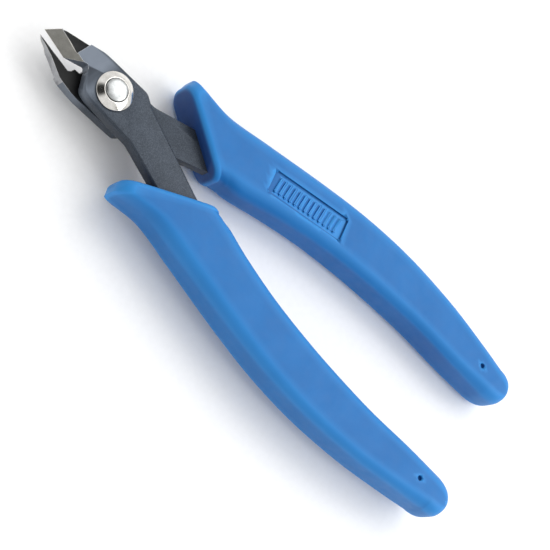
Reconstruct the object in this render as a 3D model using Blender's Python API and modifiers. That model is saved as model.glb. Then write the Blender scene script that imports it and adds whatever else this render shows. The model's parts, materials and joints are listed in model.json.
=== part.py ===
"""Micro flush cutter: two lapped steel halves on a rivet, a wire spring and two moulded sleeves.

The tool lies on its back. +X runs from the jaws to the handles, +Z is up through the rivet, and the
origin is at the middle of the underside. Everything is modelled about the pivot, which an empty then
lifts to its height. Lengths are in metres.
"""

from math import acos, atan2, ceil, cos, pi, radians, sin, tan

import bmesh
import bpy
from mathutils import Matrix, Vector

MM = 0.001

# Driving dimensions
JAW_REACH = 19.1 * MM            # pivot to the slim jaw's tip
HANDLE_REACH = 116.8 * MM        # pivot to the end of the sleeves
PLATE_THICKNESS = 3.05 * MM      # each steel half
MATING_GAP = 0.3 * MM            # between the two halves
BODY_HALF_WIDTH = 5.6 * MM       # of the round part at the joint
PLATE_CHAMFER = 0.4 * MM         # along each half's outer rim
CLOSE_ANGLE = radians(4.0)       # the jaws' opening at rest

CUT_TIP_DROP = 1.0 * MM          # closed cutting line: its drop from the axis at the tip
CUT_SLOPE = -0.165               # and its slope across the tool
FRONT_EDGE_END = 0.64            # where each cutting edge ends, as a share of the jaw's reach
REAR_EDGE_END = 0.51
FRONT_FACET_RUN = 1.9 * MM       # how far each ground facet leans back over the plate's thickness
REAR_FACET_RUN = 0.95 * MM

PIN_RADIUS = 2.5 * MM
PIN_DOME = 0.55 * MM             # height of the button's dome
PIN_HEAD_LIP = 1.5 * MM          # how far its rear head stands out round the shank
PIN_HEAD_HEIGHT = 1.0 * MM
COLLAR_WIDTH = 1.65 * MM         # from its bore to its outer edge
COLLAR_HEIGHT = 1.0 * MM
COLLAR_BEVEL = 0.85 * MM         # width of the sloping rim
COLLAR_RIM = 0.35 * MM           # height of the upright rim below it
SEAT_GAP = 0.2 * MM              # between pieces that sit on each other
BORE_CLEARANCE = 0.2 * MM        # round the pin

SPRING_WIRE_RADIUS = 0.4 * MM
SPRING_LOOP_GAP = 0.4 * MM       # between the pin and the spring's loop
SPRING_REAR_END = (7.6 * MM, 1.5 * MM)   # along each arm's straight inner edge, and in from it
SPRING_FRONT_END = (6.9 * MM, 2.3 * MM)
SPRING_HOOK = 1.2 * MM           # how far each end hooks into its half
SPRING_CLEARANCE = 0.2 * MM

GRIP_THICKNESS = 11.2 * MM
GRIP_CORNER = 3.0 * MM           # rounding along the sleeves' long edges
MOUTH_ROUND = 1.5 * MM           # rounding at the sleeves' mouths
TANG_CLEARANCE = 0.3 * MM        # round the steel inside a sleeve
TANG_REACH = 0.9                 # tang's end, as a share of the handle's reach
TANG_END_ROUND = 1.5 * MM

# Sleeve outline, as shares of the handle's reach and distances from the axis. Each row is one rib
# across the sleeve, from its inner edge to its outer edge. Each side has its own slanted mouth.
MOUTH_RIBS = {
    1: ((0.254, 2.4 * MM, 0.094, 14.5 * MM),
        (0.274, 3.9 * MM, 0.102, 17.0 * MM),
        (0.312, 4.6 * MM, 0.190, 16.6 * MM)),
    -1: ((0.287, 3.0 * MM, 0.103, 14.5 * MM),
         (0.304, 4.4 * MM, 0.112, 17.2 * MM),
         (0.330, 5.0 * MM, 0.190, 16.6 * MM)),
}
GRIP_RIBS = (
    (0.385, 7.0 * MM, 0.290, 18.7 * MM),
    (0.470, 9.3 * MM, 0.420, 21.6 * MM),
    (0.560, 10.9 * MM, 0.540, 23.7 * MM),
    (0.650, 11.9 * MM, 0.660, 24.5 * MM),
    (0.755, 12.5 * MM, 0.785, 23.8 * MM),
    (0.860, 12.3 * MM, 0.890, 22.2 * MM),
    (0.945, 12.3 * MM, 0.958, 21.0 * MM),
)
GRIP_STEPS = 3                   # sections between two ribs
END_STEPS = 5
END_FULLNESS = 0.52              # power of the cosine that closes the end
END_FLAT = 0.12                  # the end face's width, as a share of the last rib's
END_HEIGHT = 0.35                # and the share of the thickness that it keeps
CORNER_STEPS = 4

TURN_STEPS = 48
HOLE_STEPS = 16
ARC_STEP = radians(15)

STEEL_TOP = MATING_GAP / 2 + PLATE_THICKNESS
BORE_RADIUS = PIN_RADIUS + BORE_CLEARANCE
SPRING_LOOP_RADIUS = PIN_RADIUS + SPRING_LOOP_GAP + SPRING_WIRE_RADIUS
GRIP_MIDDLE = (MATING_GAP + PLATE_THICKNESS) / 2
PIVOT_HEIGHT = GRIP_MIDDLE + GRIP_THICKNESS / 2
OUTSIDE = 5 * MM                 # how far a cutter stands clear of what it cuts


# Scene helpers

def new_collection(name):
    collection = bpy.data.collections.new(name)
    bpy.context.scene.collection.children.link(collection)
    return collection


def principled(name, colour, roughness, metallic):
    material = bpy.data.materials.new(name)
    material.use_nodes = True
    shader = material.node_tree.nodes["Principled BSDF"]
    shader.inputs["Base Color"].default_value = (*colour, 1.0)
    shader.inputs["Roughness"].default_value = roughness
    shader.inputs["Metallic"].default_value = metallic
    return material


def add_object(name, data, collection, parent=None, material=None):
    obj = bpy.data.objects.new(name, data)
    collection.objects.link(obj)
    obj.parent = parent
    if material is not None:
        data.materials.append(material)
    return obj


def mesh_from(name, bm):
    """Close a bmesh with its faces pointing out and return it as a mesh."""
    bmesh.ops.recalc_face_normals(bm, faces=bm.faces)
    if bm.calc_volume(signed=True) < 0:
        bmesh.ops.reverse_faces(bm, faces=bm.faces)
    mesh = bpy.data.meshes.new(name)
    bm.to_mesh(mesh)
    bm.free()
    return mesh


def smooth(mesh):
    mesh.shade_smooth()
    mesh.set_sharp_from_angle(angle=radians(35))


# Outlines

def turn(point, angle):
    x, y = point[:2]
    return (x * cos(angle) - y * sin(angle), x * sin(angle) + y * cos(angle))


def rounded(corners, closed=True):
    """Round each corner (point, radius) of an outline or path with an arc."""
    count = len(corners)
    points = []
    for index, (corner, radius) in enumerate(corners):
        corner = Vector(corner)
        if radius == 0 or (not closed and index in (0, count - 1)):
            points.append(corner)
            continue
        to_last = (Vector(corners[index - 1][0]) - corner).normalized()
        to_next = (Vector(corners[(index + 1) % count][0]) - corner).normalized()
        half = to_last.angle(to_next) / 2
        centre = corner + (to_last + to_next).normalized() * radius / sin(half)
        start = corner + to_last * radius / tan(half) - centre
        end = corner + to_next * radius / tan(half) - centre
        sweep = pi - 2 * half
        steps = max(1, ceil(sweep / ARC_STEP))
        for step in range(steps + 1):
            at = step / steps
            mix = start * sin((1 - at) * sweep) + end * sin(at * sweep)
            points.append(centre + mix / sin(sweep))
    return points


def outline_plate(name, outline, bottom, top):
    """A flat plate: a filled 2D curve, extruded both ways, as a welded mesh."""
    curve = bpy.data.curves.new(name, "CURVE")
    curve.dimensions = "2D"
    curve.fill_mode = "BOTH"
    curve.extrude = (top - bottom) / 2
    spline = curve.splines.new("POLY")
    spline.points.add(len(outline) - 1)
    spline.use_cyclic_u = True
    for point, (x, y) in zip(spline.points, outline):
        point.co = (x, y, 0, 1)
    holder = bpy.data.objects.new(name, curve)
    bpy.context.scene.collection.objects.link(holder)
    depsgraph = bpy.context.evaluated_depsgraph_get()
    flat = bpy.data.meshes.new_from_object(holder.evaluated_get(depsgraph))
    bpy.data.objects.remove(holder)
    bpy.data.curves.remove(curve)
    bm = bmesh.new()
    bm.from_mesh(flat)
    bpy.data.meshes.remove(flat)
    bmesh.ops.remove_doubles(bm, verts=bm.verts, dist=0.001 * MM)
    bmesh.ops.dissolve_limit(bm, angle_limit=radians(0.5), verts=bm.verts, edges=bm.edges)
    bmesh.ops.translate(bm, verts=bm.verts, vec=(0, 0, (top + bottom) / 2))
    return bm


def chamfer_rim(bm, height, width, start):
    """Chamfer the rim of the plate's face at this height, from x = start on."""
    rim = [edge for edge in bm.edges
           if all(abs(v.co.z - height) < 0.001 * MM and v.co.x > start for v in edge.verts)]
    bmesh.ops.bevel(bm, geom=rim, offset=width, segments=1, affect="EDGES")


# Cutters

def cut(obj, cutter):
    modifier = obj.modifiers.new(cutter.name, "BOOLEAN")
    modifier.operation = "DIFFERENCE"
    modifier.object = cutter


def add_cutter(name, mesh, parent):
    cutter = add_object(name, mesh, cutters, parent)
    cutter.hide_render = True
    cutter.display_type = "WIRE"
    return cutter


def facet_cutter(name, parent, start, end, third, reach, margin):
    """A block whose lower face lies in the plane of three points and faces away from z = 0.

    It begins `margin` behind the line from start to end, and runs `reach` towards the third point.
    """
    start, end, third = Vector(start), Vector(end), Vector(third)
    along = (end - start).normalized()
    normal = along.cross(third - start).normalized()
    if normal.z * start.z < 0:
        normal = -normal
    ahead = normal.cross(along)
    if ahead.dot(third - start) < 0:
        ahead = -ahead
    length = (end - start).length
    middle = (start + end) / 2 + ahead * (reach - margin) / 2 + normal * OUTSIDE / 2
    axes = Matrix((along, ahead, normal)).transposed().to_4x4()
    if axes.determinant() < 0:
        axes = Matrix((-along, ahead, normal)).transposed().to_4x4()
    size = Matrix.Diagonal((length, reach + margin, OUTSIDE, 1))
    bm = bmesh.new()
    bmesh.ops.create_cube(bm, size=1.0, matrix=Matrix.Translation(middle) @ axes @ size)
    return add_cutter(name, mesh_from(name, bm), parent)


def round_cutter(name, parent, centre, radius, bottom, top, segments=TURN_STEPS):
    bm = bmesh.new()
    place = Matrix.Translation((*centre, (bottom + top) / 2))
    bmesh.ops.create_cone(bm, cap_ends=True, segments=segments, radius1=radius, radius2=radius,
                          depth=top - bottom, matrix=place)
    return add_cutter(name, mesh_from(name, bm), parent)


# Steel halves

def cutting_line(share):
    """The point of the closed cutting line at this share of the jaw's reach."""
    x = -JAW_REACH * share
    return (x, -CUT_TIP_DROP + CUT_SLOPE * (x + JAW_REACH))


def arm_corners(side, grow=0.0):
    """Corners of the arm and its tang, from the jaw side of the joint out and back again.

    side is +1 or -1 across the tool, and grow widens the tang for its pocket.
    """
    reach = HANDLE_REACH
    out = 1.08 * grow            # the arm lies aslant, so it widens a little more across
    end = TANG_REACH * reach + grow
    return [
        ((0.082 * reach, side * (6.0 * MM + out)), 3 * MM),
        ((0.161 * reach, side * (9.0 * MM + out)), 20 * MM),
        ((0.257 * reach, side * (13.0 * MM + out)), 60 * MM),
        ((0.430 * reach, side * (18.2 * MM + out)), 60 * MM),
        ((0.640 * reach, side * (20.6 * MM + out)), 80 * MM),
        ((end, side * (18.9 * MM + out)), TANG_END_ROUND),
        ((end, side * (15.2 * MM - out)), TANG_END_ROUND),
        ((0.600 * reach, side * (14.3 * MM - out)), 80 * MM),
        ((0.385 * reach, side * (9.8 * MM - out)), 60 * MM),
        ((0.253 * reach, side * (4.7 * MM - out)), 60 * MM),
        ((0.075 * reach, side * (-3.5 * MM - out)), 2 * MM),
    ]


def in_arm(side, place):
    """A point inside an arm, from its distances along and in from the arm's straight inner edge."""
    corners = arm_corners(side)
    start, end = Vector(corners[-1][0]), Vector(corners[-2][0])
    along = (end - start).normalized()
    inward = Vector((-along.y, along.x)) * side
    return start + along * place[0] + inward * place[1]


def front_outline():
    tip = turn(cutting_line(1.0), -CLOSE_ANGLE)
    edge_end = turn(cutting_line(FRONT_EDGE_END), -CLOSE_ANGLE)
    jaw = -JAW_REACH
    return [
        (tip, 0),
        (edge_end, 0),
        ((0.520 * jaw, -0.55 * MM), 0),
        ((0.412 * jaw, 0.18 * MM), 0.5 * MM),
        ((0.368 * jaw, -0.9 * MM), 0.8 * MM),
        ((0.275 * jaw, -4.9 * MM), 2 * MM),
        ((-3.0 * MM, -BODY_HALF_WIDTH + 0.1 * MM), 2 * MM),
        *arm_corners(-1),
        ((5.8 * MM, BODY_HALF_WIDTH - 0.1 * MM), 2 * MM),
        ((-5.4 * MM, BODY_HALF_WIDTH - 0.3 * MM), 9 * MM),
        ((0.520 * jaw, 4.05 * MM), 12 * MM),
        ((0.825 * jaw, 2.45 * MM), 3 * MM),
        ((0.885 * jaw, 1.65 * MM), 0),
    ]


def rear_outline():
    tip = cutting_line(1.0)
    edge_end = cutting_line(REAR_EDGE_END)
    jaw = -JAW_REACH
    return [
        (tip, 0),
        (edge_end, 0),
        ((0.480 * jaw, -2.05 * MM), 0),
        ((0.462 * jaw, -1.15 * MM), 0.3 * MM),
        ((0.385 * jaw, -1.10 * MM), 0.3 * MM),
        ((0.368 * jaw, 0.9 * MM), 0.8 * MM),
        ((0.275 * jaw, 4.9 * MM), 2 * MM),
        ((-3.0 * MM, BODY_HALF_WIDTH - 0.1 * MM), 2 * MM),
        *arm_corners(1),
        ((6.9 * MM, -BODY_HALF_WIDTH + 0.1 * MM), 1.5 * MM),
        ((-5.2 * MM, -BODY_HALF_WIDTH - 0.4 * MM), 9 * MM),
        ((0.520 * jaw, -5.15 * MM), 6 * MM),
        ((0.800 * jaw, -2.3 * MM), 12 * MM),
        ((0.950 * jaw, -1.45 * MM), 2 * MM),
    ]


def steel_half(name, outline, side, parent, material):
    """One flat half. side is +1 for the front half and -1 for the rear half."""
    near, far = side * MATING_GAP / 2, side * STEEL_TOP
    bm = outline_plate(name, rounded(outline), min(near, far), max(near, far))
    chamfer_rim(bm, far, PLATE_CHAMFER, -JAW_REACH / 3)
    return add_object(name, mesh_from(name, bm), parts, parent, material)


def raise_to(point, height):
    return (*point, height)


def grind_front_jaw(half):
    """The cutting facet and the sunk relief facet that meet at the jaw's ridge."""
    near = MATING_GAP / 2
    tip = turn(cutting_line(1.04), -CLOSE_ANGLE)
    end = turn(cutting_line(0.40), -CLOSE_ANGLE)
    ridge = (tip[0], tip[1] + FRONT_FACET_RUN / cos(atan2(CUT_SLOPE, 1)))
    cut(half, facet_cutter("front_cutting_facet", half, raise_to(tip, near), raise_to(end, near),
                           raise_to(ridge, STEEL_TOP), PLATE_THICKNESS + OUTSIDE, MM))
    jaw = -JAW_REACH
    shoulder_in = (0.580 * jaw, 0.2 * MM, STEEL_TOP - 0.2 * MM)
    shoulder_out = (0.515 * jaw, 4.6 * MM, STEEL_TOP - 1.0 * MM)
    nose = (0.885 * jaw, 1.6 * MM, STEEL_TOP - 0.5 * MM)
    cut(half, facet_cutter("front_relief_facet", half, shoulder_in, shoulder_out, nose,
                           JAW_REACH / 2, 0))


def grind_rear_jaw(half):
    near = -MATING_GAP / 2
    tip, end = cutting_line(1.04), cutting_line(REAR_EDGE_END)
    ridge = (tip[0], tip[1] - REAR_FACET_RUN)
    cut(half, facet_cutter("rear_cutting_facet", half, raise_to(tip, near), raise_to(end, near),
                           raise_to(ridge, -STEEL_TOP), PLATE_THICKNESS + OUTSIDE, MM))
    jaw = -JAW_REACH
    shoulder_in = (0.633 * jaw, 1.3 * MM, -STEEL_TOP - 0.16 * MM)
    shoulder_out = (0.530 * jaw, -5.6 * MM, -STEEL_TOP + 0.7 * MM)
    nose = (0.885 * jaw, -1.9 * MM, -STEEL_TOP + 0.8 * MM)
    cut(half, facet_cutter("rear_relief_facet", half, shoulder_in, shoulder_out, nose,
                           JAW_REACH / 2, 0))


def spring_pocket(half, side):
    """The shared pocket for the spring, and the hole for the end that hooks into this half."""
    margin = SPRING_WIRE_RADIUS + SPRING_CLEARANCE
    low, high = sorted((-side * MATING_GAP, side * margin))
    ring = SPRING_LOOP_RADIUS + margin
    cut(half, round_cutter(half.name + "_spring_ring", half, (0, 0), ring, low, high))
    rear_end = in_arm(1, SPRING_REAR_END)
    front_end = in_arm(-1, SPRING_FRONT_END)
    rear_x, rear_y = rear_end
    front_x, front_y = front_end
    slot = [(0.0, -ring), (front_x + margin, front_y - margin), (rear_x + margin, rear_y - margin),
            (rear_x + margin, rear_y + margin), (0.0, ring)]
    name = half.name + "_spring_slot"
    bm = outline_plate(name, slot, low, high)
    cut(half, add_cutter(name, mesh_from(name, bm), half))
    hook = front_end if side > 0 else rear_end
    low, high = sorted((0.0, side * (SPRING_HOOK + 2 * SPRING_CLEARANCE)))
    cut(half, round_cutter(half.name + "_spring_hole", half, hook, margin, low, high, HOLE_STEPS))


def drill_pivot(half):
    cut(half, round_cutter(half.name + "_bore", half, (0, 0), BORE_RADIUS,
                           -STEEL_TOP - MM, STEEL_TOP + MM))


# Pivot

def turned(name, profile, closed, parent, material):
    """A turned piece: a profile at +X, spun round the pivot."""
    mesh = bpy.data.meshes.new(name)
    edges = [(i, i + 1) for i in range(len(profile) - 1)]
    if closed:
        edges.append((len(profile) - 1, 0))
    mesh.from_pydata([(radius, 0, z) for radius, z in profile], edges, [])
    obj = add_object(name, mesh, parts, parent, material)
    screw = obj.modifiers.new("spin", "SCREW")
    screw.steps = TURN_STEPS
    screw.render_steps = TURN_STEPS
    screw.use_merge_vertices = True
    screw.merge_threshold = 0.001 * MM
    screw.use_smooth_shade = True
    return obj


def make_collar(parent, material):
    bottom = STEEL_TOP + SEAT_GAP
    top = bottom + COLLAR_HEIGHT
    outer = BORE_RADIUS + COLLAR_WIDTH
    edge_break = 0.15 * MM
    profile = [
        (BORE_RADIUS + edge_break, top),
        (outer - COLLAR_BEVEL, top),
        (outer, bottom + COLLAR_RIM),
        (outer, bottom),
        (BORE_RADIUS, bottom),
        (BORE_RADIUS, top - edge_break),
    ]
    return turned("pivot_collar", profile, True, parent, material)


def make_pin(parent, material):
    """Domed button, shank and flat rear head, from the top of the dome down."""
    dome_base = STEEL_TOP + SEAT_GAP + COLLAR_HEIGHT
    steps = 5
    dome = [(PIN_RADIUS * sin(pi / 2 * i / steps), dome_base + PIN_DOME * cos(pi / 2 * i / steps))
            for i in range(steps + 1)]
    dome[0] = (0.0, dome_base + PIN_DOME)
    head = -STEEL_TOP - SEAT_GAP
    head_radius = PIN_RADIUS + PIN_HEAD_LIP
    chamfer = 0.4 * MM
    profile = dome + [
        (PIN_RADIUS, head),
        (head_radius, head),
        (head_radius, head - PIN_HEAD_HEIGHT + chamfer),
        (head_radius - chamfer, head - PIN_HEAD_HEIGHT),
        (0.0, head - PIN_HEAD_HEIGHT),
    ]
    return turned("pivot_pin", profile, False, parent, material)


# Spring

def make_spring(parent, material):
    """A hairpin of wire: one leg, a loop round the jaw side of the pin, and the other leg."""
    def leg_angle(end, side):
        return atan2(end.y, end.x) + side * acos(SPRING_LOOP_RADIUS / end.length)

    front_end = in_arm(-1, SPRING_FRONT_END)
    rear_end = in_arm(1, SPRING_REAR_END)
    start = leg_angle(front_end, -1)
    finish = leg_angle(rear_end, 1) - 2 * pi
    steps = ceil((start - finish) / ARC_STEP)
    loop = []
    for step in range(steps + 1):
        angle = start + (finish - start) * step / steps
        loop.append((SPRING_LOOP_RADIUS * cos(angle), SPRING_LOOP_RADIUS * sin(angle), 0.0))
    bend = 1.5 * SPRING_WIRE_RADIUS
    first = [((*front_end, SPRING_HOOK), 0), ((*front_end, 0.0), bend), (loop[0], 0)]
    last = [(loop[-1], 0), ((*rear_end, 0.0), bend), ((*rear_end, -SPRING_HOOK), 0)]
    path = rounded(first, closed=False) + loop[1:-1] + rounded(last, closed=False)
    curve = bpy.data.curves.new("return_spring", "CURVE")
    curve.dimensions = "3D"
    curve.bevel_depth = SPRING_WIRE_RADIUS
    curve.bevel_resolution = 2
    curve.use_fill_caps = True
    spline = curve.splines.new("POLY")
    spline.points.add(len(path) - 1)
    for point, place in zip(spline.points, path):
        point.co = (*place, 1)
    return add_object("return_spring", curve, parts, parent, material)


# Sleeves

def spline_through(values, at):
    """Catmull-Rom value at rib number `at`, a decimal, through one value per rib."""
    last = len(values) - 1
    index = min(int(at), last - 1)
    t = at - index
    b, c = values[index], values[index + 1]
    a = values[index - 1] if index > 0 else 2 * b - c
    d = values[index + 2] if index + 2 <= last else 2 * c - b
    return 0.5 * (2 * b + (c - a) * t + (2 * a - 5 * b + 4 * c - d) * t ** 2
                  + (3 * b - 3 * c + d - a) * t ** 3)


def grip_section(inner, outer, half_height, corner):
    """A rounded oblong standing on the line from the inner to the outer edge."""
    across = outer - inner
    width = across.length
    across = across / width
    middle = (inner + outer) / 2
    ring = []
    for quarter in range(4):
        sx = 1 if quarter in (0, 3) else -1
        sz = 1 if quarter in (0, 1) else -1
        for step in range(CORNER_STEPS + 1):
            angle = pi / 2 * (quarter + step / CORNER_STEPS)
            u = sx * (width / 2 - corner) + corner * cos(angle)
            z = sz * (half_height - corner) + corner * sin(angle)
            ring.append((*(middle + across * u), z))
    return ring


def grip_sections(side):
    """Sections from the slanted mouth to the rounded end."""
    ribs = [(Vector((ix * HANDLE_REACH, side * iy)), Vector((ox * HANDLE_REACH, side * oy)))
            for ix, iy, ox, oy in MOUTH_RIBS[side] + GRIP_RIBS]
    inner = [rib[0] for rib in ribs]
    outer = [rib[1] for rib in ribs]
    half = GRIP_THICKNESS / 2
    sections = []
    mouth = (outer[0] - inner[0]).normalized()
    into = Vector((-mouth.y, mouth.x)) * (-side)
    for share in (0.0, 0.5, 1.0):
        inset = MOUTH_ROUND * (1 - sin(pi / 2 * share))
        depth = MOUTH_ROUND * (1 - cos(pi / 2 * share))
        sections.append(grip_section(inner[0] + mouth * inset + into * depth,
                                     outer[0] - mouth * inset + into * depth,
                                     half - inset, GRIP_CORNER - inset * 0.9))
    count = (len(ribs) - 1) * GRIP_STEPS
    for step in range(GRIP_STEPS, count + 1):
        at = step / GRIP_STEPS
        sections.append(grip_section(spline_through(inner, at), spline_through(outer, at),
                                     half, GRIP_CORNER))
    middle = (inner[-1] + outer[-1]) / 2
    spread = (outer[-1] - inner[-1]) / 2
    for step in range(1, END_STEPS + 1):
        share = step / END_STEPS
        squeeze = max(cos(pi / 2 * share) ** END_FULLNESS, END_FLAT)
        centre = middle + Vector(((HANDLE_REACH - middle.x) * sin(pi / 2 * share), 0))
        arm = Vector((spread.x * (1 - share), spread.y)) * squeeze
        height = half * (END_HEIGHT + (1 - END_HEIGHT) * squeeze)
        corner = 0.9 * min(GRIP_CORNER / 0.9, arm.length, height)
        sections.append(grip_section(centre - arm, centre + arm, height, corner))
    return sections


def make_grip(name, side, parent, material):
    """A sleeve lofted through its sections, with a pocket for the tang."""
    bm = bmesh.new()
    rings = [[bm.verts.new(point) for point in section] for section in grip_sections(side)]
    size = len(rings[0])
    for near, far in zip(rings, rings[1:]):
        for i in range(size):
            bm.faces.new((near[i], near[(i + 1) % size], far[(i + 1) % size], far[i]))
    bm.faces.new(rings[0])
    bm.faces.new(rings[-1])
    bmesh.ops.translate(bm, verts=bm.verts, vec=(0, 0, -side * GRIP_MIDDLE))
    mesh = mesh_from(name, bm)
    smooth(mesh)
    grip = add_object(name, mesh, parts, parent, material)
    low, high = sorted((-side * (MATING_GAP / 2 - TANG_CLEARANCE), -side * (STEEL_TOP + TANG_CLEARANCE)))
    bm = outline_plate(name + "_tang_pocket", rounded(arm_corners(side, TANG_CLEARANCE)), low, high)
    cut(grip, add_cutter(name + "_tang_pocket", mesh_from(name + "_tang_pocket", bm), grip))
    return grip


for old in list(bpy.data.objects):
    bpy.data.objects.remove(old)

parts = new_collection("flush_cutter")
cutters = new_collection("flush_cutter_cutters")

steel = principled("blackened_steel", (0.075, 0.085, 0.10), 0.42, 0.8)
bright = principled("bright_plated_steel", (0.78, 0.77, 0.74), 0.16, 1.0)
wire = principled("spring_steel", (0.35, 0.34, 0.32), 0.35, 1.0)
vinyl = principled("blue_sleeve", (0.035, 0.20, 0.60), 0.45, 0.0)

front_tip_x = turn(cutting_line(1.0), -CLOSE_ANGLE)[0]
root = bpy.data.objects.new("pivot_centre", None)
root.location = (-(HANDLE_REACH + front_tip_x) / 2, 0, PIVOT_HEIGHT)
parts.objects.link(root)
swing = bpy.data.objects.new("front_swing", None)
swing.parent = root
parts.objects.link(swing)

front_half = steel_half("front_half", front_outline(), 1, swing, steel)
grind_front_jaw(front_half)
rear_half = steel_half("rear_half", rear_outline(), -1, root, steel)
grind_rear_jaw(rear_half)
for half, half_side in ((front_half, 1), (rear_half, -1)):
    spring_pocket(half, half_side)
    drill_pivot(half)

make_pin(root, bright)
make_collar(root, bright)
make_spring(root, wire)
make_grip("left_grip", -1, swing, vinyl)
make_grip("right_grip", 1, root, vinyl)
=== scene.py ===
"""Looks of the micro flush cutter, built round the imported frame.

Places are in the frame's metres, mostly measured from the pivot: +X runs to the handles, +Y to the
right sleeve and +Z up from the plane in which the two steel halves meet.
"""

import json
from math import cos, pi, radians, sin

import bmesh
import bpy
from mathutils import Matrix, Quaternion, Vector


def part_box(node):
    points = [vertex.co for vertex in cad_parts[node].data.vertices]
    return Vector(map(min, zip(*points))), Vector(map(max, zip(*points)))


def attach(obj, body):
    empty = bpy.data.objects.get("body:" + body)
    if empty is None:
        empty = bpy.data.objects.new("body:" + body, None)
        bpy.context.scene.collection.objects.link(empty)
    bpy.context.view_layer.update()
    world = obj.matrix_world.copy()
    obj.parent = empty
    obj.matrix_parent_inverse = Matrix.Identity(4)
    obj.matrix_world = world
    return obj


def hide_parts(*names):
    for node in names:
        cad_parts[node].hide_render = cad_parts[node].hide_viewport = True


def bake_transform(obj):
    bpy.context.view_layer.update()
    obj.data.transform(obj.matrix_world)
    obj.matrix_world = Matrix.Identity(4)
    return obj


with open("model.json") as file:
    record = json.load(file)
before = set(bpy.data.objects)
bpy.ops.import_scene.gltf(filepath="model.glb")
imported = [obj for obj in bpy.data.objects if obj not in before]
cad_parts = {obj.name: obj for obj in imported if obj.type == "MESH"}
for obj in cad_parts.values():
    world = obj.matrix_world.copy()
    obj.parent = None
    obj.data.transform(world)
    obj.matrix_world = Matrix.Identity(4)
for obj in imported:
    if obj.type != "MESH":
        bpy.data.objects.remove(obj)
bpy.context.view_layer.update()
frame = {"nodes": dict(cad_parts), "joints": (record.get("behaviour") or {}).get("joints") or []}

MM = 0.001
PIVOT = Vector(frame["joints"][0]["pos_m"])
SLEEVE_LOW, SLEEVE_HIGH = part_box("right_grip")

# Sleeves
REACH = SLEEVE_HIGH.x - PIVOT.x             # pivot to the end of the sleeves
SLEEVE_HALF = (SLEEVE_HIGH.z - SLEEVE_LOW.z) / 2
SLEEVE_OFFSET = PIVOT.z - (SLEEVE_HIGH.z + SLEEVE_LOW.z) / 2   # from the mating plane
# One rib per row: inner edge's share of the reach and distance from the axis, then the outer edge's,
# and the rounding radius along the long edges. Each side's first rib is its slanted mouth.
MOUTH_RIBS = {
    1: ((0.254, 2.4 * MM, 0.094, 14.5 * MM, 3.4 * MM),
        (0.274, 3.9 * MM, 0.102, 17.0 * MM, 3.6 * MM),
        (0.312, 4.6 * MM, 0.190, 16.6 * MM, 3.5 * MM)),
    -1: ((0.287, 3.0 * MM, 0.103, 14.5 * MM, 3.4 * MM),
         (0.304, 4.4 * MM, 0.112, 17.2 * MM, 3.6 * MM),
         (0.330, 5.0 * MM, 0.190, 16.6 * MM, 3.5 * MM)),
}
RIBS = (
    (0.385, 7.0 * MM, 0.290, 18.7 * MM, 3.0 * MM),
    (0.470, 9.3 * MM, 0.420, 21.6 * MM, 2.5 * MM),
    (0.560, 10.9 * MM, 0.540, 23.7 * MM, 2.2 * MM),
    (0.650, 11.9 * MM, 0.660, 24.5 * MM, 2.1 * MM),
    (0.755, 12.5 * MM, 0.785, 23.8 * MM, 2.1 * MM),
    (0.860, 12.3 * MM, 0.890, 22.2 * MM, 2.2 * MM),
    (0.945, 12.3 * MM, 0.958, 21.0 * MM, 2.6 * MM),
)
MOUTH_ROUND = 1.5 * MM                      # radius of the edge round a mouth
MOUTH_SHADE_FACING = {1: (-0.54, -0.84, 0.0), -1: (-0.47, 0.88, 0.0)}   # faces turned this way on each mouth get painted shade
MOUTH_STEPS = 6                             # sections in that edge
RIB_STEPS = 10                              # sections between two ribs
END_STEPS = 20                              # sections that close an end
END_FULLNESS = 0.52                         # power of the cosine that closes it
END_WIDTH = 0.12                            # share of the width left at the very end
END_HEIGHT = 0.35                           # share of the height that doesn't shrink with the width
CORNER_SHARE = 0.9                          # largest corner radius in half a section's width or height
CORNER_STEPS = 8                            # points round a section's corner
FLAT_STEPS = 8                              # and along each of its sides
CROWN = 0.25 * MM                           # how far the long faces bulge
POCKET_GAP = 0.05 * MM                      # between a sleeve and its tang

PANEL_CENTRE = (49.1 * MM, 13.75 * MM)      # sunk label panel on the right sleeve
PANEL_LENGTH = 20.8 * MM
PANEL_WIDTH = 5.9 * MM
PANEL_TURN = radians(11.5)
PANEL_DEPTH = 0.5 * MM
PANEL_ROUND = 0.4 * MM                      # of its upright edges
PANEL_BARS = 13                             # plain raised bars in place of lettering
BAR_LENGTH = 4.0 * MM
BAR_WIDTH = 0.7 * MM
BAR_PITCH = 1.4 * MM
BAR_SINK = 0.1 * MM                         # of a bar's top below the sleeve's face
BAR_ROUND = 0.25 * MM
BAR_LEAN = radians(-8)
VENT_PLACE = (106.4 * MM, 16.9 * MM)        # moulding vent near each sleeve's end
VENT_RADIUS = 0.62 * MM
VENT_DEPTH = 0.8 * MM
SLEEVE_CREASE = radians(32)                 # edges sharper than this are shaded as creases

# Steel
WELD = 0.001 * MM                           # corners closer than this are one
FLAT_WITHIN = radians(0.4)                  # faces that turn less than this where they meet are one
EDGE_BREAK = 0.1 * MM
BROKEN_FROM = radians(25)                   # edges sharper than this are broken
STEEL_CREASE = radians(40)
GROUND_FROM = 6 * MM                        # the jaws are ground sharp this far ahead of the pivot
OUTER_FROM = 8 * MM                         # the slim jaw's ground outer side starts this far ahead
LEVEL = 0.995                               # a face is level if its normal's z is larger than this
LEVEL_BELOW = 0.998                         # the same for the slim jaw's underside
JAW_SLOPE = 0.3                             # normal's y or z from which a jaw's facet is sloped
EDGE_SIDE = -0.2                            # normal's y below which a facet faces the broad jaw's edge
UNDERSIDE = -0.1                            # normal's z below which it is on the slim jaw's underside
MOSTLY_DOWN = -0.8                          # normal's z below which it faces down more than sideways
JAW_TONE_AND_SHEEN_START = PIVOT.x - 1.0 * MM         # the steel's colour shifts from here to the jaws: on the body steel partly a painted sheen
JAW_TONE_AND_SHEEN_END = PIVOT.x - 5.5 * MM

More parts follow.
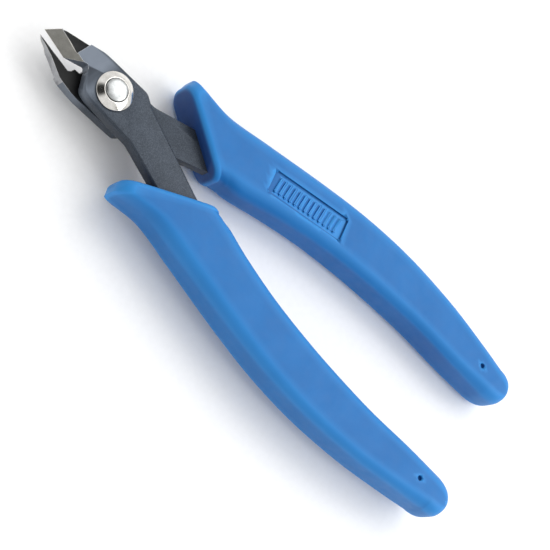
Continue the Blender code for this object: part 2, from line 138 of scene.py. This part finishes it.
# Pivot and spring
TURNED_STEPS = 96
RING_BORE = 2.62 * MM
RING_LIP = 0.16 * MM                        # radius of the soft lip round the button
RING_RIM = 0.18 * MM                        # height of the upright rim
RING_SHOULDER = 0.1 * MM                    # how far the shoulder comes in above the rim
RING_BREAK = 0.06 * MM
BUTTON_RADIUS = 2.5 * MM
BUTTON_DOME = 0.3 * MM                      # height of the dome
BUTTON_EDGE = 0.16 * MM                     # radius of the rolled edge
BUTTON_STEPS = 10
REAR_HEAD = 1.0 * MM                        # thickness of the flat head
REAR_HEAD_ROUND = 0.4 * MM
REAR_HEAD_BREAK = 0.1 * MM
SPRING_CREASE = radians(50)

# Camera and light
VIEW_AZIMUTH = radians(-122.1)              # of the camera round the aim, from +X
VIEW_ELEVATION = radians(57.8)
VIEW_ROLL = radians(72.7)
VIEW_DISTANCE = 366.1 * MM
VIEW_AIM = Vector((53.62 * MM, -2.47 * MM, 0.0))   # from the pivot
LENS = 109.1
FLOOR_HALF = 3.0                            # half the floor's side
WORLD_LIGHT = 0.93
PATCH_LIGHT = 0.03                          # share of it left in the middle of a dark patch
# Dark patches that the plating mirrors: azimuth, elevation, half angles between which they fade out
PATCHES = ((-160, 46, 12, 32), (3, 34, 12, 27))


# Scene helpers

def linked(name, data):
    """An object that holds the data, linked to the scene."""
    obj = bpy.data.objects.new(name, data)
    bpy.context.scene.collection.objects.link(obj)
    return obj


def make_piece(obj, body, node):
    """Let the object ride on its body and put it in the place of a CAD node."""
    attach(obj, body)
    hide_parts(node)


def finish_mesh(mesh, finish, crease):
    """Give a mesh one finish, and smooth shading with creases."""
    mesh.materials.clear()
    mesh.materials.append(finish)
    mesh.shade_smooth()
    mesh.set_sharp_from_angle(angle=crease)


def mesh_from(name, bm):
    """A mesh with its faces pointing out, which uses the bmesh up."""
    bmesh.ops.recalc_face_normals(bm, faces=bm.faces)
    if bm.calc_volume(signed=True) < 0:
        bmesh.ops.reverse_faces(bm, faces=bm.faces)
    mesh = bpy.data.meshes.new(name)
    bm.to_mesh(mesh)
    bm.free()
    return mesh


def with_modifiers(obj):
    """Replace an object's mesh with the one its modifiers make."""
    depsgraph = bpy.context.evaluated_depsgraph_get()
    mesh = bpy.data.meshes.new_from_object(obj.evaluated_get(depsgraph))
    obj.modifiers.clear()
    obj.data = mesh
    return mesh


def cut_all(obj, cutters):
    """Cut the object by every cutter and remove the cutters."""
    for cutter in cutters:
        modifier = obj.modifiers.new(cutter.name, "BOOLEAN")
        modifier.operation = "DIFFERENCE"
        modifier.object = cutter
    mesh = with_modifiers(obj)
    for cutter in cutters:
        bpy.data.objects.remove(cutter)
    return mesh


# Materials

def srgb(red, green, blue):
    """Linear colour from 0 to 255 screen values."""
    shares = [value / 255 for value in (red, green, blue)]
    return tuple(s / 12.92 if s <= 0.04045 else ((s + 0.055) / 1.055) ** 2.4 for s in shares) + (1.0,)


class Surface:
    """A Principled material and short calls for the nodes that feed it."""

    def __init__(self, name, **fixed):
        self.material = bpy.data.materials.new(name)
        self.material.use_nodes = True
        self.tree = self.material.node_tree
        self.shader = self.tree.nodes["Principled BSDF"]
        for socket, value in fixed.items():
            self.shader.inputs[socket.replace("_", " ")].default_value = value
        self.place = self.node("ShaderNodeTexCoord").outputs["Object"]

    def node(self, kind, links=None, inputs=None, **settings):
        """A new node with its incoming links, its sockets' values and its settings."""
        made = self.tree.nodes.new(kind)
        for name, value in settings.items():
            setattr(made, name, value)
        for name, value in (inputs or {}).items():
            made.inputs[name].default_value = value
        for name, source in (links or {}).items():
            self.tree.links.new(source, made.inputs[name])
        return made

    def feed(self, socket, source):
        self.tree.links.new(source, self.shader.inputs[socket])

    def noise(self, size, detail=3.0, stretch=(1, 1, 1), turn=0.0, roughness=0.5):
        """Noise whose features are about `size` across, drawn out along the stretched axes."""
        mapping = self.node("ShaderNodeMapping", {"Vector": self.place},
                            {"Scale": [1 / s for s in stretch], "Rotation": (0, 0, turn)})
        made = self.node("ShaderNodeTexNoise", {"Vector": mapping.outputs["Vector"]},
                         {"Scale": 1 / size, "Detail": detail, "Roughness": roughness})
        return made.outputs["Fac"]

    def ramp(self, source, low, high, start=0.35, end=0.65):
        """Colour that runs from low to high as the source goes from start to end."""
        made = self.node("ShaderNodeValToRGB", {"Fac": source})
        first, last = made.color_ramp.elements
        first.position, last.position = start, end
        first.color, last.color = low, high
        return made.outputs["Color"]

    def span(self, source, low, high, start=0.3, end=0.7):
        """Value that runs from low to high as the source goes from start to end."""
        made = self.node("ShaderNodeMapRange", {"Value": source},
                         {"From Min": start, "From Max": end, "To Min": low, "To Max": high})
        return made.outputs["Result"]

    def along_x(self, low, high):
        """1 below the object's own x of low, smoothly down to 0 above high."""
        parts = self.node("ShaderNodeSeparateXYZ", {"Vector": self.place})
        made = self.node("ShaderNodeMapRange", {"Value": parts.outputs["X"]},
                         {"From Min": low, "From Max": high, "To Min": 1.0, "To Max": 0.0},
                         interpolation_type="SMOOTHSTEP")
        return made.outputs["Result"]

    def mix(self, factor, first, second):
        """The first colour at factor 0 and the second at 1. A colour is a tuple or another node's."""
        made = self.node("ShaderNodeMix", data_type="RGBA", blend_type="MIX")
        factor_in, first_in, second_in = made.inputs[0], made.inputs[6], made.inputs[7]
        for socket, source in ((factor_in, factor), (first_in, first), (second_in, second)):
            if isinstance(source, tuple):
                socket.default_value = source
            else:
                self.tree.links.new(source, socket)
        return made.outputs[2]

    def product(self, first, second):
        """The two sources multiplied."""
        made = self.node("ShaderNodeMath", operation="MULTIPLY")
        self.tree.links.new(first, made.inputs[0])
        self.tree.links.new(second, made.inputs[1])
        return made.outputs[0]

    def facing(self, normal, direction):
        """Cosine of the angle between a normal and a direction, which is a tuple or another node's."""
        made = self.node("ShaderNodeVectorMath", operation="DOT_PRODUCT")
        self.tree.links.new(normal, made.inputs[0])
        if isinstance(direction, tuple):
            made.inputs[1].default_value = direction
        else:
            self.tree.links.new(direction, made.inputs[1])
        return made.outputs["Value"]

    def edges(self, radius):
        """1 along outer and inner edges within the radius, 0 on flats."""
        bevel = self.node("ShaderNodeBevel", None, {"Radius": radius}, samples=6)
        normal = self.node("ShaderNodeNewGeometry").outputs["Normal"]
        return self.span(self.facing(bevel.outputs["Normal"], normal), 1.0, 0.0, 0.85, 0.98)

    def bump(self, heights):
        """Chain of bumps: (height source, distance in metres, strength)."""
        last = None
        for source, distance, strength in heights:
            links = {"Height": source}
            if last is not None:
                links["Normal"] = last
            made = self.node("ShaderNodeBump", links, {"Distance": distance, "Strength": strength})
            last = made.outputs["Normal"]
        self.feed("Normal", last)


def vinyl_look(name, side):
    """Satin moulded vinyl: soft clouds, a fine grain, paler ridges that are partly rubbed wear and partly a
    painted highlight, painted shade in hollows, and painted shade on each mouth.
    """
    look = Surface(name, Specular_IOR_Level=0.32, Subsurface_Weight=0.04)
    look.shader.inputs["Subsurface Radius"].default_value = (0.0004, 0.0008, 0.002)
    clouds = look.noise(9 * MM, 3.0)
    grain = look.noise(0.16 * MM, 2.0)
    specks = look.noise(0.7 * MM, 5.0, roughness=0.7)
    tone = look.ramp(clouds, srgb(13, 101, 169), srgb(20, 107, 176))
    tone = look.mix(look.span(specks, 0.0, 0.10), tone, srgb(18, 84, 150))
    ridge = look.node("ShaderNodeNewGeometry").outputs["Pointiness"]
    # Paler on sharply rounded ridges: partly rubbed wear, partly a painted highlight.
    tone = look.mix(look.span(ridge, 0.0, 0.8, 0.502, 0.525), tone, srgb(48, 140, 212))
    # Darker where the surface is hollow, in recesses and along inner corners: painted shade.
    tone = look.mix(look.span(ridge, 0.55, 0.0, 0.40, 0.485), tone, srgb(10, 52, 104))
    normal = look.node("ShaderNodeTexCoord").outputs["Normal"]
    # Darker violet on the faces of each mouth: painted shade.
    mouth = look.span(look.facing(normal, MOUTH_SHADE_FACING[side]), 0.0, 0.7, 0.8, 0.99)
    look.feed("Base Color", look.mix(mouth, tone, srgb(44, 60, 124)))
    look.feed("Roughness", look.span(look.noise(2.2 * MM, 4.0), 0.42, 0.54))
    look.bump([(clouds, 0.15 * MM, 0.35), (grain, 0.012 * MM, 0.45)])
    return look.material


def blackened_look(name, jaw_tone_and_sheen):
    """Blackened steel: mottled grey-blue, fine tumbled grain, a colour shift towards the jaws that on the
    body steel is partly a painted sheen, and pale edges that are partly worn metal and partly a painted
    highlight.
    """
    look = Surface(name, Metallic=0.4, Specular_IOR_Level=0.35)
    blotches = look.noise(3.5 * MM, 4.0, roughness=0.55)
    grain = look.noise(0.16 * MM, 3.0)
    tone = look.ramp(blotches, srgb(44, 51, 60), srgb(50, 57, 67))
    tone = look.mix(look.span(grain, 0.0, 0.42, 0.42, 0.66), tone, srgb(92, 101, 112))
    tone = look.mix(look.span(look.noise(0.11 * MM, 2.0), 0.0, 0.5, 0.58, 0.72), tone, srgb(24, 27, 31))
    # Towards the jaws the colour shifts: on the body steel partly a paler finish and partly a painted
    # sheen, on the lapped steel darker.
    tone = look.mix(look.along_x(JAW_TONE_AND_SHEEN_END, JAW_TONE_AND_SHEEN_START), tone, jaw_tone_and_sheen)
    scuffs = look.noise(0.9 * MM, 4.0, stretch=(4, 1, 1), turn=0.5)
    # Pale edges: partly worn metal, partly a painted highlight.
    worn_edge_and_highlight = look.product(look.edges(0.2 * MM), look.span(scuffs, 0.15, 1.0))
    look.feed("Base Color", look.mix(worn_edge_and_highlight, tone, srgb(214, 216, 218)))
    look.feed("Roughness", look.span(look.noise(1.4 * MM, 4.0), 0.38, 0.46))
    look.bump([(grain, 0.02 * MM, 0.6), (blotches, 0.02 * MM, 0.3)])
    return look.material


def ground_look(name, turn, light, dark):
    """Ground facets of the jaws: bright uncoated steel with fine parallel grinding marks, and pale edges
    that are partly worn metal and partly a painted highlight.
    """
    look = Surface(name, Metallic=0.9)
    marks = look.noise(0.07 * MM, 4.0, stretch=(14, 1, 1), turn=turn, roughness=0.6)
    stains = look.noise(1.3 * MM, 4.0)
    tone = look.mix(look.span(stains, 0.0, 0.6), light, dark)
    tone = look.mix(look.span(marks, 0.0, 0.45, 0.35, 0.65), tone, dark)
    # Pale edges: partly worn metal, partly a painted highlight.
    worn_edge_and_highlight = look.edges(0.2 * MM)
    look.feed("Base Color", look.mix(worn_edge_and_highlight, tone, srgb(225, 222, 214)))
    look.feed("Roughness", look.span(marks, 0.30, 0.46))
    look.bump([(marks, 0.006 * MM, 0.6)])
    return look.material


def relief_look():
    """The near-black, finely ground flats next to the cutting facets."""
    look = Surface("relief_steel", Metallic=0.15, Specular_IOR_Level=0.3)
    marks = look.noise(0.06 * MM, 3.0, stretch=(1, 10, 1), turn=0.3)
    tone = look.ramp(marks, srgb(8, 9, 10), srgb(20, 21, 24))
    # Pale edges: partly worn metal, partly a painted highlight.
    worn_edge_and_highlight = look.edges(0.16 * MM)
    look.feed("Base Color", look.mix(worn_edge_and_highlight, tone, srgb(196, 196, 192)))
    look.feed("Roughness", look.span(marks, 0.34, 0.48))
    look.bump([(marks, 0.005 * MM, 0.5)])
    return look.material


def plating_look(name, dull, bright, polish):
    """Plating with stains and hairline scratches; polish is its lowest roughness."""
    look = Surface(name, Metallic=1.0)
    stains = look.noise(1.1 * MM, 4.0, roughness=0.6)
    scratches = look.noise(0.05 * MM, 3.0, stretch=(20, 1, 1), turn=0.9)
    look.feed("Base Color", look.ramp(stains, dull, bright, 0.3, 0.7))
    look.feed("Roughness", look.span(scratches, polish, polish + 0.1))
    look.bump([(scratches, 0.002 * MM, 0.25), (stains, 0.008 * MM, 0.3)])
    return look.material


def wire_look():
    """Drawn spring wire with fine marks along it."""
    look = Surface("spring_steel", Metallic=1.0)
    marks = look.noise(0.08 * MM, 3.0, stretch=(8, 8, 1))
    look.feed("Base Color", look.ramp(marks, srgb(120, 116, 110), srgb(158, 154, 148)))
    look.feed("Roughness", look.span(marks, 0.3, 0.45))
    look.bump([(marks, 0.004 * MM, 0.5)])
    return look.material


def paper_look():
    """Matt white backdrop paper with a faint unevenness."""
    look = Surface("backdrop_paper", Roughness=0.9, Specular_IOR_Level=0.1)
    fibres = look.noise(1.5 * MM, 3.0)
    look.feed("Base Color", look.ramp(fibres, (0.93, 0.93, 0.93, 1), (0.95, 0.95, 0.95, 1)))
    return look.material


# Sleeves

def spline_through(values, at):
    """Catmull-Rom value at rib number `at`, a decimal, through one value per rib."""
    last = len(values) - 1
    index = min(int(at), last - 1)
    t = at - index
    b, c = values[index], values[index + 1]
    a = values[index - 1] if index > 0 else 2 * b - c
    d = values[index + 2] if index + 2 <= last else 2 * c - b
    return 0.5 * (2 * b + (c - a) * t + (2 * a - 5 * b + 4 * c - d) * t ** 2
                  + (3 * b - 3 * c + d - a) * t ** 3)


def sleeve_section(inner, outer, half_height, corner):
    """A rounded, slightly crowned oblong standing on the line from the inner to the outer edge."""
    across = outer - inner
    half_width = across.length / 2
    across = across.normalized()
    middle = (inner + outer) / 2
    arcs = []
    for quarter, (sx, sz) in enumerate(((1, 1), (-1, 1), (-1, -1), (1, -1))):
        u, z = sx * (half_width - corner), sz * (half_height - corner)
        angles = [pi / 2 * (quarter + step / CORNER_STEPS) for step in range(CORNER_STEPS + 1)]
        arcs.append([Vector((u + corner * cos(angle), z + corner * sin(angle))) for angle in angles])
    points = []
    for turn, following in zip(arcs, arcs[1:] + arcs[:1]):
        points += turn
        points += [turn[-1].lerp(following[0], step / FLAT_STEPS) for step in range(1, FLAT_STEPS)]
    ring = []
    for u, z in points:
        sink = CROWN * (u / half_width) ** 2
        pull = CROWN * (z / half_height) ** 2
        z *= 1 - sink / half_height
        u *= 1 - pull / half_width
        ring.append((*(middle + across * u), z))
    return ring


def sleeve_sections(side):
    """Every section of one sleeve: the rounded mouth, the length through the ribs and the closed end."""
    ribs = [(Vector((ix * REACH, side * iy)), Vector((ox * REACH, side * oy)), radius)
            for ix, iy, ox, oy, radius in MOUTH_RIBS[side] + RIBS]
    inner, outer, corners = zip(*ribs)
    mouth = (outer[0] - inner[0]).normalized()
    into = Vector((-mouth.y, mouth.x)) * -side
    sections = []
    for step in range(MOUTH_STEPS + 1):
        angle = pi / 2 * step / MOUTH_STEPS
        inset = MOUTH_ROUND * (1 - sin(angle))
        depth = MOUTH_ROUND * (1 - cos(angle))
        sections.append(sleeve_section(inner[0] + mouth * inset + into * depth,
                                       outer[0] - mouth * inset + into * depth,
                                       SLEEVE_HALF - inset, corners[0] - inset * CORNER_SHARE))
    for step in range(RIB_STEPS, (len(ribs) - 1) * RIB_STEPS + 1):
        at = step / RIB_STEPS
        sections.append(sleeve_section(spline_through(inner, at), spline_through(outer, at),
                                       SLEEVE_HALF, spline_through(corners, at)))
    middle = (inner[-1] + outer[-1]) / 2
    spread = (outer[-1] - inner[-1]) / 2
    for step in range(1, END_STEPS + 1):
        share = step / END_STEPS
        squeeze = max(cos(pi / 2 * share) ** END_FULLNESS, END_WIDTH)
        centre = middle + Vector(((REACH - middle.x) * sin(pi / 2 * share), 0))
        arm = Vector((spread.x * (1 - share), spread.y)) * squeeze
        height = SLEEVE_HALF * (END_HEIGHT + (1 - END_HEIGHT) * squeeze)
        corner = min(corners[-1], CORNER_SHARE * arm.length, CORNER_SHARE * height)
        sections.append(sleeve_section(centre - arm, centre + arm, height, corner))
    return sections


def grown_half(node):
    """The steel half, grown by the pocket's gap, to cut the tang's pocket."""
    bm = welded(node)
    bm.normal_update()
    for vert in bm.verts:
        normals = {tuple(round(c, 3) for c in face.normal) for face in vert.link_faces}
        push = Vector()
        for normal in normals:
            push += Vector(normal)
        vert.co += push.normalized() * POCKET_GAP
    return linked(node + "_grown", mesh_from(node + "_grown", bm))


def upright_block(name, place, length, width, height, rounding):
    """A block with rounded upright edges, centred on `place`."""
    bm = bmesh.new()
    bmesh.ops.create_cube(bm, size=1.0, matrix=Matrix.Diagonal((length, width, height, 1)))
    upright = [e for e in bm.edges if abs(e.verts[0].co.z - e.verts[1].co.z) > height / 2]
    bmesh.ops.bevel(bm, geom=upright, offset=rounding, segments=4, affect="EDGES")
    bmesh.ops.transform(bm, matrix=place, verts=bm.verts)
    return linked(name, mesh_from(name, bm))


def panel_cutter(z_face):
    """Sinks the label panel but leaves a row of small bars standing in it."""
    place = Matrix.Translation(PIVOT + Vector((*PANEL_CENTRE, z_face)))
    place @= Matrix.Rotation(PANEL_TURN, 4, "Z")
    cutter = upright_block("panel_cutter", place, PANEL_LENGTH, PANEL_WIDTH, 2 * PANEL_DEPTH,
                           PANEL_ROUND)
    bars = []
    for i in range(PANEL_BARS):
        along = (i - (PANEL_BARS - 1) / 2) * BAR_PITCH
        low = Matrix.Translation((along, 0, -PANEL_DEPTH - BAR_SINK))
        bars.append(upright_block("bar", place @ low @ Matrix.Rotation(BAR_LEAN, 4, "Z"),
                                  BAR_WIDTH, BAR_LENGTH, 2 * PANEL_DEPTH, BAR_ROUND))
    cut_all(cutter, bars)
    return cutter


def vent_cutter(side, z_face):
    """Drills the moulding vent near a sleeve's end."""
    bm = bmesh.new()
    place = Matrix.Translation(PIVOT + Vector((VENT_PLACE[0], side * VENT_PLACE[1], z_face)))
    bmesh.ops.create_cone(bm, cap_ends=True, segments=24, radius1=VENT_RADIUS, radius2=VENT_RADIUS,
                          depth=2 * VENT_DEPTH, matrix=place)
    return linked("vent_cutter", mesh_from("vent_cutter", bm))


def make_sleeve(name, side, body, node, half_node, finish):
    """A sleeve lofted through its sections, with its vent, the tang's pocket and on the right the panel."""
    bm = bmesh.new()
    rings = [[bm.verts.new(point) for point in section] for section in sleeve_sections(side)]
    size = len(rings[0])
    for near, far in zip(rings, rings[1:]):
        for i in range(size):
            bm.faces.new((near[i], near[(i + 1) % size], far[(i + 1) % size], far[i]))
    bm.faces.new(rings[0])
    bm.faces.new(rings[-1])
    middle = -side * SLEEVE_OFFSET
    bmesh.ops.translate(bm, verts=bm.verts, vec=PIVOT + Vector((0, 0, middle)))
    sleeve = linked(name, mesh_from(name, bm))
    make_piece(sleeve, body, node)
    face = middle + SLEEVE_HALF
    cutters = [grown_half(half_node), vent_cutter(side, face)]
    if side > 0:
        cutters.append(panel_cutter(face))
    finish_mesh(cut_all(sleeve, cutters), finish, SLEEVE_CREASE)


# Steel halves

def welded(node):
    """The CAD node's mesh as one closed surface with whole flat faces."""
    bm = bmesh.new()
    bm.from_mesh(frame["nodes"][node].data)
    bmesh.ops.remove_doubles(bm, verts=bm.verts, dist=WELD)
    bmesh.ops.dissolve_limit(bm, angle_limit=FLAT_WITHIN, verts=bm.verts, edges=bm.edges)
    return bm


def make_half(name, node, body, finishes, pick):
    """A steel half with its edges broken. pick gives each face's finish by its normal and place."""
    bm = welded(node)
    bm.normal_update()
    for face in bm.faces:
        face.material_index = pick(face.normal, face.calc_center_median() - PIVOT)
        face.smooth = True
    edges = [e for e in bm.edges if len(e.link_faces) == 2 and e.calc_face_angle() > BROKEN_FROM
             and max(v.co.x for v in e.verts) > PIVOT.x - GROUND_FROM]
    bmesh.ops.bevel(bm, geom=edges, offset=EDGE_BREAK, segments=2, profile=0.6, affect="EDGES",
                    clamp_overlap=False)
    mesh = mesh_from(name, bm)
    for finish in finishes:
        mesh.materials.append(finish)
    mesh.set_sharp_from_angle(angle=STEEL_CREASE)
    make_piece(linked(name, mesh), body, node)


BODY, CUTTING, RELIEF, OUTER, LAPPED = range(5)     # a finish's place in both halves' material slots


def front_finish(normal, place):
    """The broad jaw: its two upper facets face the cutting edge or away from it."""
    if place.x > -GROUND_FROM or abs(normal.z) > LEVEL or normal.z <= JAW_SLOPE:
        return BODY
    return CUTTING if normal.y < EDGE_SIDE else RELIEF


def rear_finish(normal, place):
    """The slim jaw: its mating face, its outer side and the facets ground under it."""
    if normal.z > LEVEL:
        return LAPPED
    if place.x > -GROUND_FROM:
        return BODY
    if normal.y < -JAW_SLOPE and place.x < -OUTER_FROM:
        return OUTER
    if -LEVEL_BELOW < normal.z < UNDERSIDE and (normal.y > JAW_SLOPE or normal.z < MOSTLY_DOWN):
        return CUTTING
    return BODY


# Pivot and spring

def make_turned(name, profile, closed, node, finish):
    """A plated piece on the rear body: a profile at +X, spun round the pivot."""
    mesh = bpy.data.meshes.new(name)
    edges = [(i, i + 1) for i in range(len(profile) - 1)]
    if closed:
        edges.append((len(profile) - 1, 0))
    mesh.from_pydata([(radius, 0, z) for radius, z in profile], edges, [])
    obj = linked(name, mesh)
    screw = obj.modifiers.new("spin", "SCREW")
    screw.steps = TURNED_STEPS
    screw.render_steps = TURNED_STEPS
    screw.use_merge_vertices = True
    screw.merge_threshold = WELD
    made = with_modifiers(obj)
    made.transform(Matrix.Translation(PIVOT))
    finish_mesh(made, finish, STEEL_CREASE)
    make_piece(obj, "rear", node)


def arc(centre, radius, start, end, steps):
    """Points on an arc, from one angle in degrees to another."""
    return [(centre[0] + radius * cos(radians(start + (end - start) * i / steps)),
             centre[1] + radius * sin(radians(start + (end - start) * i / steps)))
            for i in range(steps + 1)]


def make_ring(finish):
    """Dished ring: upright rim, rounded shoulder and a soft inner lip round the button."""
    low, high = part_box("pivot_collar")
    bottom, top = low.z - PIVOT.z, high.z - PIVOT.z
    outer = (high.x - low.x) / 2
    rim_top = bottom + RING_RIM
    profile = [(RING_BORE, bottom), (RING_BORE, top - RING_LIP)]
    profile += arc((RING_BORE + RING_LIP, top - RING_LIP), RING_LIP, 180, 50, 6)[1:]
    profile += [(outer - RING_SHOULDER, rim_top + RING_BREAK), (outer, rim_top - RING_BREAK),
                (outer, bottom + RING_BREAK), (outer - RING_BREAK, bottom)]
    make_turned("pivot_ring", profile[::-1], True, "pivot_collar", finish)


def make_button(finish):
    """Domed button with a rolled edge, shank and flat rear head."""
    low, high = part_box("pivot_pin")
    top, foot = high.z - PIVOT.z, low.z - PIVOT.z
    head_radius = (high.x - low.x) / 2
    head_top = foot + REAR_HEAD
    flat = BUTTON_RADIUS - BUTTON_EDGE
    profile = [(0.0, top)]
    for i in range(1, BUTTON_STEPS):
        angle = pi / 2 * i / BUTTON_STEPS
        profile.append((flat * sin(angle), top - BUTTON_DOME * (1 - cos(angle))))
    profile += arc((flat, top - BUTTON_DOME - BUTTON_EDGE), BUTTON_EDGE, 78, 0, 5)
    profile += [(BUTTON_RADIUS, head_top), (head_radius - REAR_HEAD_BREAK, head_top),
                (head_radius, head_top - REAR_HEAD_BREAK)]
    profile += arc((head_radius - REAR_HEAD_ROUND, foot + REAR_HEAD_ROUND), REAR_HEAD_ROUND, 0, -90, 6)
    profile += [(0.0, foot)]
    make_turned("pivot_button", profile, False, "pivot_pin", finish)


def make_spring(finish):
    """The hairpin wire: a copy of the CAD spring's mesh with its own finish, in the CAD spring's place."""
    mesh = frame["nodes"]["return_spring"].data.copy()
    finish_mesh(mesh, finish, SPRING_CREASE)
    wire = linked("return_wire", mesh)
    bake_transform(wire)
    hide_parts("return_spring")


# Stage

def make_floor(finish):
    """A wide flat floor under the tool."""
    bm = bmesh.new()
    bmesh.ops.create_grid(bm, x_segments=2, y_segments=2, size=FLOOR_HALF)
    floor = linked("floor", mesh_from("floor", bm))
    floor.data.materials.append(finish)


def toward(azimuth, elevation):
    """Direction towards a place in the surroundings, with its azimuth measured from +X."""
    return Vector((cos(azimuth) * cos(elevation), sin(azimuth) * cos(elevation), sin(elevation)))


def make_camera():
    """The camera, at its distance from the aim and rolled as the tool lies in its view."""
    data = bpy.data.cameras.new("camera")
    data.lens = LENS
    data.sensor_width = 36
    data.clip_start = 0.01
    camera = linked("camera", data)
    back = toward(VIEW_AZIMUTH, VIEW_ELEVATION)
    camera.rotation_mode = "QUATERNION"
    turn = (-back).to_track_quat("-Z", "Y")
    camera.rotation_quaternion = turn @ Quaternion((0, 0, 1), VIEW_ROLL)
    camera.location = PIVOT + VIEW_AIM + back * VIEW_DISTANCE
    bpy.context.scene.camera = camera


def area_light(name, direction, distance, size, power):
    """A soft light that faces the pivot from the given direction."""
    away = Vector(direction).normalized()
    data = bpy.data.lights.new(name, "AREA")
    data.shape = "RECTANGLE"
    data.size, data.size_y = size
    data.energy = power
    light = linked(name, data)
    light.location = PIVOT + away * distance
    light.rotation_mode = "QUATERNION"
    light.rotation_quaternion = away.to_track_quat("Z", "Y")


def make_world():
    """White surroundings with soft dark patches, which the bright plating mirrors."""
    world = bpy.data.worlds.new("studio")
    world.use_nodes = True
    tree = world.node_tree
    place = tree.nodes.new("ShaderNodeTexCoord").outputs["Generated"]
    light = tree.nodes.new("ShaderNodeValue").outputs[0]
    light.default_value = WORLD_LIGHT
    for azimuth, elevation, inner, outer in PATCHES:
        dot = tree.nodes.new("ShaderNodeVectorMath")
        dot.operation = "DOT_PRODUCT"
        dot.inputs[1].default_value = toward(radians(azimuth), radians(elevation))
        tree.links.new(place, dot.inputs[0])
        fade = tree.nodes.new("ShaderNodeMapRange")
        fade.interpolation_type = "SMOOTHSTEP"
        for socket, value in (("From Min", cos(radians(outer))), ("From Max", cos(radians(inner))),
                              ("To Min", 1.0), ("To Max", PATCH_LIGHT)):
            fade.inputs[socket].default_value = value
        tree.links.new(dot.outputs["Value"], fade.inputs["Value"])
        product = tree.nodes.new("ShaderNodeMath")
        product.operation = "MULTIPLY"
        tree.links.new(light, product.inputs[0])
        tree.links.new(fade.outputs["Result"], product.inputs[1])
        light = product.outputs[0]
    tree.links.new(light, tree.nodes["Background"].inputs["Strength"])
    tree.nodes["Background"].inputs["Color"].default_value = (1, 1, 1, 1)
    bpy.context.scene.world = world


bpy.context.scene.view_settings.view_transform = "Standard"

left_vinyl = vinyl_look("blue_sleeve", -1)
right_vinyl = vinyl_look("blue_sleeve_right", 1)
# The body steel turns paler towards the jaws: partly a paler finish, partly a painted sheen.
body_steel = blackened_look("blackened_steel", srgb(104, 112, 123))
lapped_steel = blackened_look("lapped_steel", srgb(7, 8, 10))
cutting_steel = ground_look("ground_cutting_steel", turn=1.2, light=srgb(142, 141, 136),
                            dark=srgb(112, 111, 106))
outer_steel = ground_look("ground_outer_steel", turn=0.2, light=srgb(186, 187, 190),
                          dark=srgb(144, 146, 150))
relief_steel = relief_look()
ring_plating = plating_look("bright_plated_steel", dull=srgb(214, 211, 205),
                            bright=srgb(232, 230, 226), polish=0.1)
button_plating = plating_look("satin_plated_steel", dull=srgb(158, 160, 160),
                              bright=srgb(196, 198, 198), polish=0.26)

steels = [body_steel, cutting_steel, relief_steel, outer_steel, lapped_steel]
make_half("front_steel", "front_half", "front", steels, front_finish)
make_half("rear_steel", "rear_half", "rear", steels, rear_finish)
make_sleeve("left_sleeve", -1, "front", "left_grip", "front_half", left_vinyl)
make_sleeve("right_sleeve", 1, "rear", "right_grip", "rear_half", right_vinyl)
make_ring(ring_plating)
make_button(button_plating)
make_spring(wire_look())

make_floor(paper_look())
make_camera()
area_light("key", direction=(0.2, 0.55, 0.8), distance=0.75, size=(0.5, 0.5), power=1.5)
area_light("fill", direction=(0.95, 0.15, 0.8), distance=0.65, size=(0.5, 0.5), power=2.2)
make_world()
